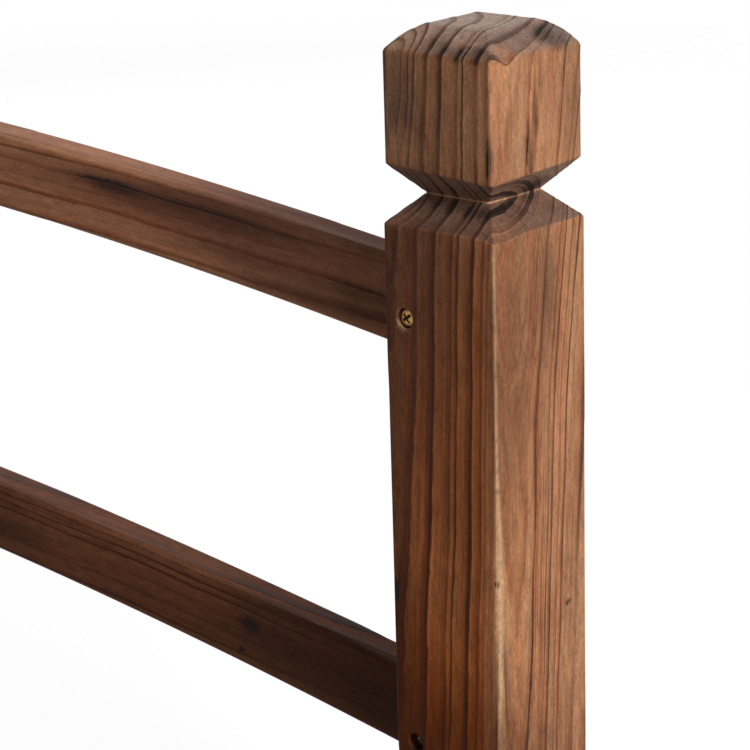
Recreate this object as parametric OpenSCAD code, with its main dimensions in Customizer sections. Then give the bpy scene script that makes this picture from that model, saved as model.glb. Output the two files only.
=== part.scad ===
// Side railing of a small arched garden bridge.
// A square post with a carved block cap stands at each end.
// Two arched rails run between the posts. Their ends sit in mortises, and one screw locks each end.
// Sizes are in millimetres, +Z is up, and the railing runs along X.
// The origin is the centre of the right post's foot. The screw heads are on the -Y side.

/* [Railing] */
// Length over the outer faces of the two posts
railing_length = 1500; // [1100:10:2000]
// Rise of the rails between the posts
rail_rise = 42; // [20:1:80]
// Drop from a post's shoulder to the top rail's centre line, at the post
top_rail_drop = 49.5; // [40:0.5:80]
// Distance between the centre lines of the two rails
rail_spacing = 225; // [150:5:250]

/* [Rails] */
// Height of a rail's section
rail_height = 45.5; // [36:0.5:56]
// Thickness of a rail's section
rail_thickness = 22; // [16:1:30]
// Radius of a rail's rounded edges
rail_edge_radius = 3.5; // [1:0.5:6]
// Length of a rail's end inside its post
housing_depth = 25; // [20:1:40]
// Gap round a rail's end in its mortise
mortise_gap = 0.25; // [0.15:0.05:0.5]

/* [Posts] */
// Side of the square posts
post_side = 70; // [60:1:90]
// Height of a post up to the shoulder under its cap
shoulder_height = 453; // [410:1:600]
// Radius of the eased upright edges of post and cap
arris_radius = 1.5; // [1:0.5:6]

/* [Cap] */
// Side of the neck at the bottom of the V groove
neck_side = 40; // [30:1:50]
// Height of the shoulder's slope, up to the bottom of the V groove
shoulder_slope = 14.3; // [8:0.1:24]
// Height of the slope under the block, from the bottom of the V groove
block_underslope = 15; // [8:0.5:24]
// Side of the cap's block
block_side = 68; // [56:1:80]
// Height of the block's upright faces
block_height = 55.5; // [40:0.5:80]
// Height of the slope from the block to the crown
crown_slope = 12.2; // [6:0.1:20]
// Side of the flat on the crown
crown_side = 38; // [20:1:50]

/* [Screws] */
// Distance from a post's inner face to the axis of its screws
screw_inset = 12.7; // [8:0.1:16]
// Height of the top screws above the rail's centre line
top_screw_lift = 4.5; // [0:0.5:8]
// Height of the lower screws above the rail's centre line
lower_screw_lift = 1.5; // [0:0.5:8]
// Diameter of a screw's head
head_diameter = 9.5; // [8:0.5:11]
// Height of a screw's head
head_height = 3; // [2:0.25:4]
// Height of the domed part of the head
head_dome = 1.2; // [0.6:0.1:1.6]
// Length of the cross cut in the head
cross_length = 5.5; // [4:0.5:7]
// Width of the cross cut in the head
cross_width = 1.2; // [0.8:0.1:1.6]
// Depth of the cross cut in the head
cross_depth = 1.6; // [1:0.1:1.8]
// Diameter of a screw's shank
shank_diameter = 5; // [4:0.5:6]
// Length of a screw beyond the rail, in the back of the post
screw_bite = 12; // [9:1:16]
// Length of a screw's point
point_length = 6; // [4:1:8]
// Depth of the top screws' heads below the post's face
top_screw_sink = 0.8; // [0.2:0.2:3]
// Depth of the lower screws' heads below the post's face
lower_screw_sink = 5; // [2:0.5:8]
// Gap round a screw's head in its recess
recess_gap = 0.6; // [0.3:0.1:1.5]
// Gap round a screw's shank in its hole
shank_gap = 0.2; // [0.1:0.05:0.4]

/* [Foot] */
// Diameter of the bolt holes through a post's foot
bolt_hole_diameter = 7; // [6:0.5:10]
// Height of the lower bolt hole
bolt_height = 40; // [25:1:50]
// Distance between the two bolt holes of a post
bolt_spacing = 50; // [30:1:60]

/* [Hidden] */
// Segments in a full circle for small rounds
$fn = 64;
// Segments in a full circle for the long arc of a rail
arc_segments = 1440;
// Length by which a cutter runs past the face that it cuts
overrun = 2;

// Levels of the cap
neck_z = shoulder_height + shoulder_slope;
block_z = neck_z + block_underslope;
block_top_z = block_z + block_height;
crown_z = block_top_z + crown_slope;

// Places of the posts and the middle of the railing
left_post_x = post_side - railing_length;
middle_x = left_post_x / 2;
front_y = -post_side / 2;

// Arc of a rail's centre line, through both posts' inner faces
half_span = railing_length / 2 - post_side;
rail_radius = (half_span * half_span + rail_rise * rail_rise) / (2 * rail_rise);
top_rail_z = shoulder_height - top_rail_drop;
lower_rail_z = top_rail_z - rail_spacing;

// Places of the screws, from the rail's centre line where they cross it
screw_x = screw_inset - post_side / 2;
screw_tip_y = rail_thickness / 2 + screw_bite;
screw_reach = half_span + screw_inset;
screw_drop = rail_radius - rail_rise - sqrt(rail_radius * rail_radius - screw_reach * screw_reach);
top_screw_z = top_rail_z - screw_drop + top_screw_lift;
lower_screw_z = lower_rail_z - screw_drop + lower_screw_lift;

post_colour = [0.43, 0.26, 0.17];
rail_colour = [0.36, 0.23, 0.16];
screw_colour = [0.66, 0.51, 0.31];

// Rectangle with rounded corners, about the origin
module rounded_rectangle(width, height, radius) {
    square([width, height - 2 * radius], center = true);
    square([width - 2 * radius, height], center = true);
    for (x = [-1, 1], y = [-1, 1]) {
        translate([x * (width / 2 - radius), y * (height / 2 - radius)])
            circle(radius);
    }
}

// Length of square timber with eased upright edges
module square_timber(side, length) {
    linear_extrude(length)
        rounded_rectangle(side, side, arris_radius);
}

// Repeats a cut on all four faces of a post
module on_four_faces() {
    for (turn = [0 : 90 : 270]) {
        rotate(turn)
            children();
    }
}

// Prism across a post, with its outline given in X and Z
module cut_across(outline) {
    rotate([90, 0, 0])
        linear_extrude(2 * post_side, center = true)
            polygon(outline);
}

// V groove between a post's shoulder and its block. Its slopes run on past both faces.
module neck_groove() {
    reach = max(post_side, block_side) / 2 + overrun;
    lower_grade = shoulder_slope / ((post_side - neck_side) / 2);
    upper_grade = block_underslope / ((block_side - neck_side) / 2);
    run = reach - neck_side / 2;
    cut_across([
        [neck_side / 2, neck_z],
        [reach, neck_z - run * lower_grade],
        [reach, neck_z + run * upper_grade]
    ]);
}

// Slope from the block's upright face to the flat of the crown
module crown_bevel() {
    grade = crown_slope / ((block_side - crown_side) / 2);
    cut_across([
        [block_side / 2 + overrun, block_top_z - overrun * grade],
        [crown_side / 2 - overrun, crown_z + overrun * grade],
        [block_side / 2 + overrun, crown_z + overrun * grade]
    ]);
}

// Arched bar of the rail's section, grown by gap on every side
module arched_bar(centre_z, gap = 0) {
    end_angle = asin((half_span + housing_depth + gap) / rail_radius);
    translate([middle_x, 0, centre_z + rail_rise - rail_radius])
        rotate([90, 0, 0])
            rotate(90 - end_angle)
                rotate_extrude(angle = 2 * end_angle, $fn = arc_segments)
                    translate([rail_radius, 0])
                        rounded_rectangle(rail_height + 2 * gap, rail_thickness + 2 * gap, rail_edge_radius + gap);
}

// Depth at which a screw's head is seated, from the middle of the post
function seat_y(sink) = front_y + sink + head_height;

// Turns a shape along Z into one along +Y, with its start on the seat of a screw's head
module on_screw_axis(screw_z, sink) {
    translate([screw_x, seat_y(sink), screw_z])
        rotate([-90, 0, 0])
            children();
}

// Hole for a screw: a recess for its head and a longer, narrower bore
module screw_hole(screw_z, sink) {
    on_screw_axis(screw_z, sink) {
        translate([0, 0, -head_height - sink - overrun])
            cylinder(h = head_height + sink + overrun, d = head_diameter + 2 * recess_gap);
        cylinder(h = screw_tip_y - seat_y(sink) + shank_gap, d = shank_diameter + 2 * shank_gap);
    }
}

// Screw with a domed head, a cross cut in it, a plain shank and a point
module screw(screw_z, sink) {
    shank_length = screw_tip_y - seat_y(sink);
    head_radius = head_diameter / 2;
    dome_radius = (head_radius * head_radius + head_dome * head_dome) / (2 * head_dome);
    color(screw_colour)
        on_screw_axis(screw_z, sink) {
            difference() {
                intersection() {
                    translate([0, 0, -head_height])
                        cylinder(h = head_height, r = head_radius);
                    translate([0, 0, dome_radius - head_height])
                        sphere(dome_radius);
                }
                for (turn = [0, 90]) {
                    rotate(turn)
                        translate([-cross_length / 2, -cross_width / 2, -head_height - overrun])
                            cube([cross_length, cross_width, cross_depth + overrun]);
                }
            }
            cylinder(h = shank_length - point_length, d = shank_diameter);
            translate([0, 0, shank_length - point_length])
                cylinder(h = point_length, d1 = shank_diameter, d2 = 0);
        }
}

// Right-hand post: timber with a carved cap, two mortises, two screw holes and two bolt holes
module post() {
    color(post_colour)
        difference() {
            union() {
                square_timber(post_side, neck_z);
                translate([0, 0, neck_z])
                    square_timber(block_side, crown_z - neck_z);
            }
            on_four_faces() {
                neck_groove();
                crown_bevel();
            }
            arched_bar(top_rail_z, mortise_gap);
            arched_bar(lower_rail_z, mortise_gap);
            screw_hole(top_screw_z, top_screw_sink);
            screw_hole(lower_screw_z, lower_screw_sink);
            for (z = [bolt_height, bolt_height + bolt_spacing]) {
                translate([0, front_y - overrun, z])
                    rotate([-90, 0, 0])
                        cylinder(h = post_side + 2 * overrun, d = bolt_hole_diameter);
            }
        }
}

// Puts the mirror image of a right-hand piece at the left post
module at_left() {
    translate([left_post_x, 0, 0])
        mirror([1, 0, 0])
            children();
}

// Arched rail with a screw hole through each end
module rail(centre_z, screw_z, sink) {
    color(rail_colour)
        difference() {
            arched_bar(centre_z);
            screw_hole(screw_z, sink);
            at_left()
                screw_hole(screw_z, sink);
        }
}

module right_post() {
    post();
}

module left_post() {
    at_left()
        post();
}

module top_rail() {
    rail(top_rail_z, top_screw_z, top_screw_sink);
}

module lower_rail() {
    rail(lower_rail_z, lower_screw_z, lower_screw_sink);
}

module right_top_screw() {
    screw(top_screw_z, top_screw_sink);
}

module right_lower_screw() {
    screw(lower_screw_z, lower_screw_sink);
}

module left_top_screw() {
    at_left()
        screw(top_screw_z, top_screw_sink);
}

module left_lower_screw() {
    at_left()
        screw(lower_screw_z, lower_screw_sink);
}

right_post();
left_post();
top_rail();
lower_rail();
right_top_screw();
right_lower_screw();
left_top_screw();
left_lower_screw();
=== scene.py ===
# %% [markdown]
# # Side railing of an arched garden bridge
# The real object is one railing: two square posts with carved caps, two arched rails held in mortises,
# and four screws. The timber is softwood that was scorched and then brushed, so its hard growth rings
# stand proud and dark. The CAD frame already has every piece at its true size, and it could be shown as
# it is with a wood material. Brushed grain, worn edges and caps cut by hand need finer surfaces, so each
# piece is made anew in its node's place.

import bpy
import numpy as np
from mathutils import Matrix, Vector


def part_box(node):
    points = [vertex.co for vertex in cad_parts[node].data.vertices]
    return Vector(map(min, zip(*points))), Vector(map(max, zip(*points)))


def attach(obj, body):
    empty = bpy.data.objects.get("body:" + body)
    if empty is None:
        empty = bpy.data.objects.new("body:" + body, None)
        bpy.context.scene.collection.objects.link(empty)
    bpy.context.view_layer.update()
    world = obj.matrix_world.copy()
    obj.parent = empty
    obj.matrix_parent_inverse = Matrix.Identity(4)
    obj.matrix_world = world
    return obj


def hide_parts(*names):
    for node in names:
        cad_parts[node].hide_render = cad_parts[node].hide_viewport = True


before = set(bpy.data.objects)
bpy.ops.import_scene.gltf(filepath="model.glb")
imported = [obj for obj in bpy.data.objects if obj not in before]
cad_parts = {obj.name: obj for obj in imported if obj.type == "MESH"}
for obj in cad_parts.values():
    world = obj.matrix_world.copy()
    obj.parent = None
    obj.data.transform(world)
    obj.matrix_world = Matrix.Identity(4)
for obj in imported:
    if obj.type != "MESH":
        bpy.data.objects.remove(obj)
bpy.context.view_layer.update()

MM = 0.001
print("frame nodes:", ", ".join(sorted(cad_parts)))

# %% [markdown]
# ## Sizes
# The frame's boxes give the sizes and places that pieces share: the side and height of a post, where the
# second post stands, and where the rails end. They could be typed in again, but then a change of the
# frame would leave the looks behind. Sizes inside a box, such as the heights of the cap's edges, are
# written where they are first needed. All lengths are in millimetres, and they become metres where
# Blender takes them.

# %% Read the frame's sizes
def box_mm(node):
    """Lowest and highest corner of a CAD node, in millimetres."""
    low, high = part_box(node)
    return np.array(low) / MM, np.array(high) / MM


post_low, post_high = box_mm("right_post")
POST_SIDE = post_high[0] - post_low[0]
POST_HEIGHT = post_high[2]
LEFT_POST_X = box_mm("left_post")[0][0] + POST_SIDE / 2
MIDDLE_X = LEFT_POST_X / 2
HALF_SPAN = -MIDDLE_X - POST_SIDE / 2
print(f"post {POST_SIDE:.1f} x {POST_HEIGHT:.1f} mm, clear span {2 * HALF_SPAN:.0f} mm")

# %% [markdown]
# ## Camera
# The view is a close one from the front right, a little above the cap, through a long lens. A camera
# could be aimed with a Track To constraint, but a close view needs its roll as well. So the camera's
# three axes are worked out from yaw, pitch and roll, and its matrix is set from them.

# %% Set the camera
CAMERA_PLACE = (732.4, -859.4, 716.5)
CAMERA_YAW, CAMERA_PITCH, CAMERA_ROLL = np.radians((43.259, 16.848, -1.712))
CAMERA_LENS = 113.57


def camera_matrix(place, yaw, pitch, roll):
    """Forward is +Y turned by yaw about Z and tipped down by pitch. Right is level, then turned by roll
    about forward, and up is square to both."""
    forward = np.array([-np.sin(yaw) * np.cos(pitch), np.cos(yaw) * np.cos(pitch), -np.sin(pitch)])
    level = np.array([np.cos(yaw), np.sin(yaw), 0])
    above = np.cross(level, forward)
    right = np.cos(roll) * level + np.sin(roll) * above
    up = np.cos(roll) * above - np.sin(roll) * level
    matrix = np.eye(4)
    matrix[:3] = np.column_stack([right, up, -forward, np.array(place) * MM])
    return Matrix(matrix.tolist())


lens = bpy.data.cameras.new("camera")
lens.lens = CAMERA_LENS
camera = bpy.data.objects.new("camera", lens)
camera.matrix_world = camera_matrix(CAMERA_PLACE, CAMERA_YAW, CAMERA_PITCH, CAMERA_ROLL)
bpy.context.scene.collection.objects.link(camera)
bpy.context.scene.camera = camera
bpy.context.scene.view_settings.view_transform = "Standard"
print("camera at", [round(x, 3) for x in camera.location])

# %% [markdown]
# ## Short calls for nodes
# A wood finish needs some hundreds of nodes. They could be drawn by hand in the editor, but in a script
# each node takes several lines. A small class keeps one node tree and adds a node with each call, handing
# back its output, so that the finishes below read almost like formulas.

# %% Add a node with each call
class NodeTree:
    """The node tree of one material or world, and its shader. Most methods add a node, set or link its
    inputs and return an output."""

    def __init__(self, owner):
        owner.use_nodes = True
        self.owner = owner
        self.tree = owner.node_tree
        is_world = isinstance(owner, bpy.types.World)
        self.shader = self.tree.nodes["Background" if is_world else "Principled BSDF"]

    def feed(self, socket, value):
        """Links an output to the socket, or sets the socket's own value."""
        if isinstance(value, bpy.types.NodeSocket):
            self.tree.links.new(value, socket)
        else:
            socket.default_value = value

    def give(self, name, value):
        """Links an output to one of the shader's own sockets, or sets that socket's value."""
        self.feed(self.shader.inputs[name], value)

    def add(self, kind, inputs=(), **settings):
        """New node of that kind, with its settings, and its inputs given by name or number."""
        made = self.tree.nodes.new("ShaderNode" + kind)
        for key, value in settings.items():
            setattr(made, key, value)
        for key, value in dict(inputs).items():
            self.feed(made.inputs[key], value)
        return made

    def calc(self, operation, *terms):
        """One sum, product or other operation on numbers."""
        return self.add("Math", enumerate(terms), operation=operation).outputs[0]

    def vector(self, operation, *terms):
        """One operation on vectors."""
        made = self.add("VectorMath", enumerate(terms), operation=operation)
        return made.outputs["Value" if operation == "LENGTH" else "Vector"]

    def split(self, vector):
        """The three parts of a vector."""
        return self.add("SeparateXYZ", {0: vector}).outputs

    def attribute(self, name, output="Vector"):
        """A value that the piece's own mesh carries."""
        return self.add("Attribute", attribute_name=name).outputs[output]


print("node calls:", ", ".join(name for name in vars(NodeTree) if not name.startswith("_")))

# %% [markdown]
# ## Fades, noise and mixes
# Most of a finish is one thing fading into another, broken up by noise. In the editor that is a Map
# Range, a Noise Texture, a Color Ramp and a Mix node, over and over. A second class builds on the first
# and has one call for each.

# %% Fade, vary and mix
class Finish(NodeTree):
    """A node tree with calls for fades, noise and colours."""

    def fade(self, value, start, end):
        """0 at start and 1 at end, with a smooth S between them. Start may be the larger of the two."""
        ends = {"Value": value, "From Min": start, "From Max": end}
        return self.add("MapRange", ends, interpolation_type="SMOOTHSTEP").outputs[0]

    def noise(self, place, scale, detail=2.0, roughness=0.5):
        """Soft noise about 0.5 at a place, scale times to the place's own unit of length."""
        inputs = {"Vector": place, "Scale": scale, "Detail": detail, "Roughness": roughness}
        return self.add("TexNoise", inputs).outputs[0]

    def swing(self, base, noise, share):
        """Base plus share times the noise's distance from its middle, which is 0.5."""
        return self.calc("MULTIPLY_ADD", self.calc("SUBTRACT", noise, 0.5), share, base)

    def ramp(self, value, stops, interpolation="LINEAR"):
        """Colour at a value from 0 to 1, from a list of (place, colour or grey)."""
        made = self.add("ValToRGB", {0: value})
        band = made.color_ramp
        band.interpolation = interpolation
        while len(band.elements) < len(stops):
            band.elements.new(1.0)
        for element, (place, colour) in zip(band.elements, stops):
            element.position = place
            element.color = (*colour, 1) if isinstance(colour, tuple) else (colour, colour, colour, 1)
        return made.outputs[0]

    def mix(self, share, first, second, blend_type="MIX"):
        """First colour where share is 0, and second where it is 1."""
        made = self.add("Mix", data_type="RGBA", blend_type=blend_type)
        self.feed(made.inputs[0], share)
        self.feed(made.inputs[6], first if not isinstance(first, tuple) else (*first, 1))
        self.feed(made.inputs[7], second if not isinstance(second, tuple) else (*second, 1))
        return made.outputs[2]


print("finish calls:", ", ".join(name for name in vars(Finish) if not name.startswith("_")))

# %% [markdown]
# ## Floor and world
# The railing stands in a white studio. A backdrop that curves up from the floor could hide the horizon,
# but a plane and a plain world are enough where both are white. Seen directly or in a reflection they are
# white, by the Light Path node, while the light that they give is much weaker, so the wood keeps its
# depth of colour. The floor's own diffuse share still catches the shadow.

# %% Build the floor and the world
WHITE = (1, 1, 1, 1)
FLOOR_REACH, FLOOR_DROP = 9000, 0.5
FLOOR_COLOUR, FLOOR_ROUGHNESS = (0.36, 0.36, 0.36, 1), 0.9
NEAR_GLOW, FAR_GLOW = 0.89, 0.965
GLOW_START, GLOW_END = 1600, 4000
AMBIENT = 0.1


def seen_directly(finish):
    """1 for rays from the camera and for mirror and glass rays, 0 for the light that a surface gives."""
    path = finish.add("LightPath").outputs
    seen = finish.calc("MAXIMUM", path["Is Camera Ray"], path["Is Glossy Ray"])
    return finish.calc("MAXIMUM", seen, path["Is Transmission Ray"])


def floor_finish():
    """Diffuse floor, with a glow added for direct sight that lifts it to white and leaves the shadow. The
    glow grows a little with the distance from the railing, where the lamps reach less."""
    finish = Finish(bpy.data.materials.new("floor_white"))
    finish.give("Base Color", FLOOR_COLOUR)
    finish.give("Roughness", FLOOR_ROUGHNESS)
    finish.give("Specular IOR Level", 0.0)
    finish.give("Emission Color", WHITE)
    place = finish.add("TexCoord").outputs["Object"]
    distance = finish.vector("LENGTH", finish.vector("SUBTRACT", place, (MIDDLE_X * MM, 0, 0)))
    far = finish.fade(distance, GLOW_START * MM, GLOW_END * MM)
    glow = finish.calc("MULTIPLY_ADD", far, FAR_GLOW - NEAR_GLOW, NEAR_GLOW)
    finish.give("Emission Strength", finish.calc("MULTIPLY", seen_directly(finish), glow))
    return finish.owner


def white_world():
    """White world for direct sight and reflections, and a weak even light for the rest."""
    studio = Finish(bpy.data.worlds.new("studio"))
    studio.give("Color", WHITE)
    studio.give("Strength", studio.calc("MAXIMUM", seen_directly(studio), AMBIENT))
    bpy.context.scene.world = studio.owner


floor_corners = np.array([[-1, -1, 0], [1, -1, 0], [1, 1, 0], [-1, 1, 0]]) * FLOOR_REACH
floor_corners = floor_corners - [0, 0, FLOOR_DROP]
floor_mesh = bpy.data.meshes.new("floor")
floor_mesh.from_pydata((floor_corners * MM).tolist(), [], [(0, 1, 2, 3)])
floor_mesh.materials.append(floor_finish())
floor = bpy.data.objects.new("floor", floor_mesh)
bpy.context.scene.collection.objects.link(floor)
white_world()
print(f"floor of {2 * FLOOR_REACH * MM:.0f} m and a white world")

# %% [markdown]
# ## Lamps
# One large soft lamp stands at the right, so the end faces are bright and the front is in half shade, and
# a weak lamp behind keeps the far side readable. A sun would be simpler, but its shadows have hard edges.

# %% Hang the lamps
KEY_WATTS, KEY_SIZE, KEY_PLACE = 40, 900, (2000, -505, 1350)
FILL_WATTS, FILL_SIZE, FILL_PLACE = 9, 1500, (-2300, 1500, 1500)
LIT_POINT = (-60, 0, 420)


def soft_lamp(name, watts, size, place):
    """Square lamp at a place, turned so that its -Z axis points at the cap."""
    lamp = bpy.data.lights.new(name, "AREA")
    lamp.energy = watts
    lamp.size = size * MM
    holder = bpy.data.objects.new(name, lamp)
    turn = (Vector(LIT_POINT) - Vector(place)).to_track_quat("-Z", "Y")
    holder.matrix_world = Matrix.LocRotScale(Vector(place) * MM, turn, None)
    bpy.context.scene.collection.objects.link(holder)


soft_lamp("key_lamp", KEY_WATTS, KEY_SIZE, KEY_PLACE)
soft_lamp("fill_lamp", FILL_WATTS, FILL_SIZE, FILL_PLACE)
print("lamps:", KEY_WATTS, "and", FILL_WATTS, "watts")

# %% [markdown]
# ## From arrays to meshes
# Posts and rails are both tubes: a closed section carried along a line. A curve with a bevel could make
# them, but a grid of points lets us press growth rings and tool marks into the surface. One helper turns
# such a grid into a closed mesh: neighbouring points make four-sided faces, the columns wrap round, and a
# fan of triangles closes each end.

# %% Make closed tubes
def closed_tube(name, points):
    """Rows of points round a tube. Face (i, j) joins points (i, j), (i, j+1), (i+1, j+1) and (i+1, j),
    with j wrapping round, and each end is a fan of triangles about the mean of its row. Rows run so that
    the faces look outwards."""
    rows, columns = points.shape[:2]
    index = np.arange(rows * columns).reshape(rows, columns)
    beside = np.roll(index, -1, axis=1)
    quads = np.stack([index[:-1], beside[:-1], beside[1:], index[1:]], axis=-1).reshape(-1, 4)
    start, end = rows * columns, rows * columns + 1
    first = np.stack([beside[0], index[0], np.full(columns, start)], axis=-1)
    last = np.stack([index[-1], beside[-1], np.full(columns, end)], axis=-1)
    middles = np.stack([points[0].mean(axis=0), points[-1].mean(axis=0)])
    corners = np.concatenate([points.reshape(-1, 3), middles]) * MM
    mesh = bpy.data.meshes.new(name)
    mesh.from_pydata(corners.tolist(), [], quads.tolist() + first.tolist() + last.tolist())
    piece = bpy.data.objects.new(name, mesh)
    bpy.context.scene.collection.objects.link(piece)
    return piece


print("each ring of points joins the next, and the two ends are closed")

# %% [markdown]
# ## Cuts and data on meshes
# Holes are taken out by Boolean modifiers, and their result is kept as a plain mesh, so that later steps
# can read every vertex. A vertex can also carry numbers of its own as attributes. That is how a material
# learns where in the tree a point lies, which no texture coordinate could tell it.

# %% Cut, measure and smooth meshes
SHARP_ANGLE = np.radians(38)


def cut_away(piece, cutters):
    """The piece's mesh less all cutters, by an exact Boolean each. The cutters are then deleted."""
    for cutter in cutters:
        cut = piece.modifiers.new(cutter.name, "BOOLEAN")
        cut.operation = "DIFFERENCE"
        cut.solver = "EXACT"
        cut.object = cutter
    depsgraph = bpy.context.evaluated_depsgraph_get()
    mesh = bpy.data.meshes.new_from_object(piece.evaluated_get(depsgraph))
    piece.modifiers.clear()
    piece.data = mesh
    mesh.name = piece.name
    for cutter in cutters:
        bpy.data.objects.remove(cutter)


def places_mm(piece):
    """All vertex places of a piece, in millimetres."""
    places = np.empty(3 * len(piece.data.vertices), np.float32)
    piece.data.vertices.foreach_get("co", places)
    return places.reshape(-1, 3).astype(float) / MM


def carry(piece, name, values):
    """Stores a number or a vector at each vertex, for the material to read."""
    kind, key = ("FLOAT", "value") if values.ndim == 1 else ("FLOAT_VECTOR", "vector")
    layer = piece.data.attributes.new(name, kind, "POINT")
    layer.data.foreach_set(key, values.astype(np.float32).ravel())


def smooth(piece):
    """Smooth faces, with edges over the sharp angle left crisp."""
    piece.data.polygons.foreach_set("use_smooth", np.ones(len(piece.data.polygons), bool))
    piece.data.set_sharp_from_angle(angle=SHARP_ANGLE)


print(f"edges over {np.degrees(SHARP_ANGLE):.0f} degrees stay crisp")

# %% [markdown]
# ## Sections and profiles
# A post's section is a square with eased edges, and a rail's is a rectangle with round ones. Both come
# from the same pattern: a core rectangle, and round it a constant radius. Complex numbers make the
# quarter turns short, since multiplying by i turns a point by 90 degrees. A post's outline is a line of
# straight runs whose corners are eased.

# %% Shape sections and outlines
BEND_POINTS = 7


def section_pattern(side_steps, corner_steps):
    """Once round a section, anticlockwise: the core's corner share (-1 to 1 in both directions) and the
    outward direction, as complex numbers. Side k faces i to the power k, and its corner turns on by a
    right angle."""
    side = 1 + 1j * np.linspace(-1, 1, side_steps + 1)[:-1]
    bend = np.exp(1j * np.linspace(0, np.pi / 2, corner_steps + 1)[:-1])
    core = np.concatenate([side, np.full(corner_steps, 1 + 1j)])
    outward = np.concatenate([np.ones(side_steps), bend])
    quarters = 1j ** np.arange(4)[:, None]
    return (quarters * core).ravel(), (quarters * outward).ravel()


def eased_line(corners, easing, spacing):
    """Straight runs through the corners, sampled at each run's spacing. At a corner with an easing length
    the line leaves that length before it, follows the parabola that touches both runs, and joins the next
    run."""
    corners = np.array(corners, float)
    runs = np.diff(corners, axis=0)
    lengths = np.linalg.norm(runs, axis=1)
    steps = runs / lengths[:, None]
    share = np.linspace(0, 1, BEND_POINTS)[:, None]
    parts = []
    for k, length in enumerate(lengths):
        start, end = easing[k], length - easing[k + 1]
        count = max(int(np.ceil((end - start) / spacing[k])), 1)
        parts.append(corners[k] + np.linspace(start, end, count + 1)[:, None] * steps[k])
        if k + 1 < len(lengths) and easing[k + 1] > 0:
            corner = corners[k + 1]
            before = corner - easing[k + 1] * steps[k]
            after = corner + easing[k + 1] * steps[k + 1]
            bend = (1 - share) ** 2 * before + 2 * share * (1 - share) * corner + share ** 2 * after
            parts.append(bend[1:-1])
    return np.concatenate(parts)


print("a section with 4 x (3 + 2) points:", len(section_pattern(3, 2)[0]))

# %% [markdown]
# ## Growth rings
# Everything that shows on this wood comes from the tree's growth rings. On a real board they could be
# painted as stripes, but then the lines on two faces and on the cap's slopes would not meet. So the rings
# are a solid pattern: the distance from a leaning pith, in oval rings. Wood darkens towards the end of
# each year and starts light again, and brushing leaves the hard dark part proud. The same numbers press
# the ridges into the mesh and colour it later.

# %% Describe a tree
RING_REACH, OUTER_STRENGTH = 128.0, 0.5
YEAR_PLACES = (0.0, 0.04, 0.4, 0.62, 0.76, 0.86, 0.96, 1.0)
YEAR_SHADES = (0.0, 0.1, 0.2, 0.34, 0.62, 0.95, 1.0, 0.8)
LEAN_LENGTH, LEAST_OVAL, SWERVE_REACH = 100.0, 0.15, 24.0
SINK_START, SINK_WIDTH = 5.0, 25.0
SINK_TOP, SINK_LENGTH, SINK_LIMIT = 330.0, 115.0, 3.0
LONG_WAVE, SHORT_WAVE = (0.4, 31.0, 19.0), (0.2, 14.0, 25.0)


class Tree:
    """Where a timber's pith lies and how its rings are spaced, in the timber's own (across, across,
    along) millimetres. pith is its place at along = level, lean its drift for each lean length of along,
    and oval the square of the rings' narrowing in the second direction there, with its own drift. rings
    lists each ring's radius and strength. swerve moves the inmost rings across by its first two numbers,
    between the two heights that follow. sink draws the outer rings on the first side outwards by that
    length, low down."""

    def __init__(self, pith, lean, oval, level, rings, swerve=None, sink=0.0):
        self.pith, self.lean, self.oval, self.level = pith, lean, oval, level
        self.swerve, self.sink = swerve, sink
        self.radii = np.array([0.0] + [r for r, strength in rings] + [RING_REACH])
        self.strengths = np.array([strength for r, strength in rings] + [OUTER_STRENGTH])

    def radius(self, fibre):
        """Distance from the pith in oval rings: the root of across 1 squared plus oval times across 2
        squared, both taken from the leaning pith, plus a long and a short wave of under a millimetre
        along the grain."""
        first, second, along = fibre.T
        step = (along - self.level) / LEAN_LENGTH
        first_off = first - self.pith[0] - self.lean[0] * step
        second_off = second - self.pith[1] - self.lean[1] * step
        oval = np.maximum(self.oval[0] + self.oval[1] * step, LEAST_OVAL)
        if self.swerve:
            inner = np.exp(-(first_off ** 2 + second_off ** 2) / SWERVE_REACH ** 2)
            share = inner * np.interp(along, self.swerve[2:], (0, 1))
            first_off = first_off - self.swerve[0] * share
            second_off = second_off - self.swerve[1] * share
        outer = np.clip((first - SINK_START) / SINK_WIDTH, 0, 1)
        low = np.clip((SINK_TOP - along) / SINK_LENGTH, 0, SINK_LIMIT)
        first_off = first_off - self.sink * outer * low
        wave = LONG_WAVE[0] * np.sin(along / LONG_WAVE[1] + first / LONG_WAVE[2])
        wave = wave + SHORT_WAVE[0] * np.sin(along / SHORT_WAVE[1] - second / SHORT_WAVE[2] + 1)
        return np.sqrt(first_off ** 2 + oval * second_off ** 2) + wave

    def shade(self, radius):
        """Darkness from 0 to 1: the year's own curve, times the strength of that year's ring."""
        age = np.interp(radius, self.radii, np.arange(len(self.radii)))
        year = np.minimum(age.astype(int), len(self.strengths) - 1)
        return np.interp(age - year, YEAR_PLACES, YEAR_SHADES) * self.strengths[year]


print("a year's shade rises to", max(YEAR_SHADES), "at", YEAR_PLACES[YEAR_SHADES.index(max(YEAR_SHADES))])

# %% [markdown]
# ## The first tree
# On the post in front, the pith runs down near the front left edge, so the front shows close upright
# lines, the end face wide ones, and the cap's slopes their cut ends as arcs. Evenly spaced rings would be
# quicker, but years differ: each ring is written with its own radius and strength.

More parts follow.
